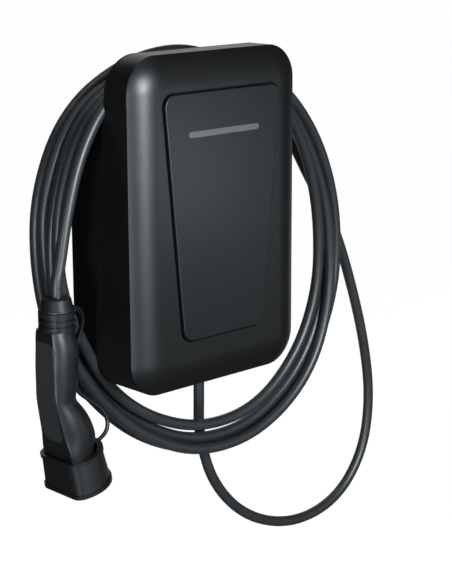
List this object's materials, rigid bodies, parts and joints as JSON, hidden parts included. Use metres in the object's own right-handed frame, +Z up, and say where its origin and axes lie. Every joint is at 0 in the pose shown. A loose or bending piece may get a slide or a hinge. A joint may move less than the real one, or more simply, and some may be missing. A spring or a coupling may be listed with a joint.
{
  "type": "wall-mounted electric vehicle charger",
  "caption": "Wall-mounted electric vehicle charger: crowned dark housing, tapered front panel with light bar, tethered cable wound behind it and a hanging plug with pull-off cap.",
  "frame": {"origin": "centre of the four wall-screw holes, on the rear face that lies against the wall", "axes": "+Z up, +Y into the wall, +X to the right as seen from the front; the front faces -Y"},
  "size_m": [0.6465, 0.143, 0.7054],
  "materials": {
    "housing_plastic": "fine matte, near black",
    "shell_plastic": "fine-grained matte, black",
    "panel_plastic": "fine-grained matte, dark grey",
    "light_lens": "translucent grey, unlit",
    "seal_rubber": "plain black",
    "screw_steel": "zinc plated",
    "board_green": "circuit board with solder mask",
    "led_white": "clear-faced light source, unlit",
    "component_black": "moulded case",
    "terminal_grey": "moulded grey",
    "capacitor_sleeve": "shrink sleeve",
    "link_grey": "flat ribbon",
    "gland_plastic": "moulded black",
    "cable_rubber": "satin dark grey jacket",
    "core_insulation": "insulated conductors",
    "plug_plastic": "satin black",
    "grip_rubber": "knurled dark grey",
    "carrier_plastic": "black insulator",
    "contact_metal": "silver-plated copper alloy",
    "cap_rubber": "soft black"
  },
  "bodies": {
    "charger": {"rear_housing": "housing_plastic", "front_shell": "shell_plastic", "housing_seal": "seal_rubber", "cover_screws": "screw_steel", "front_panel": "panel_plastic", "light_bar": "light_lens", "led_board": "board_green", "status_leds": "led_white", "main_board": "board_green", "board_screws": "screw_steel", "power_relays": "component_black", "supply_terminal": "terminal_grey", "output_terminal": "terminal_grey", "terminal_screws": "screw_steel", "current_sensor": "component_black", "power_converter": "component_black", "capacitors": "capacitor_sleeve", "link_header": "terminal_grey", "board_link": "link_grey", "supply_grommet": "seal_rubber", "gland_body": "gland_plastic", "gland_locknut": "gland_plastic", "gland_nut": "gland_plastic", "gland_seal": "seal_rubber", "cable_tail": "cable_rubber", "cable_cores": "core_insulation", "cable_coil": "cable_rubber", "cable_lead": "cable_rubber", "cable_drop": "cable_rubber", "plug_sleeve": "plug_plastic", "plug_collar": "plug_plastic", "plug_tail": "cable_rubber", "plug_grip": "grip_rubber", "plug_screws": "screw_steel", "plug_half_front": "plug_plastic", "plug_half_rear": "plug_plastic", "nose_seal": "seal_rubber", "contact_carrier": "carrier_plastic", "power_contacts": "contact_metal", "signal_contacts": "contact_metal", "plug_cores": "core_insulation", "cap_strap": "cap_rubber"},
    "plug_cap": {"plug_cap": "cap_rubber"}
  },
  "joints": [
    {"name": "cap_pull", "type": "slide", "parent": "charger", "child": "plug_cap", "axis": [0.2079, 0, -0.9781], "range_m": [0, 0.045], "deforming": ["cap_strap"]}
  ]
}
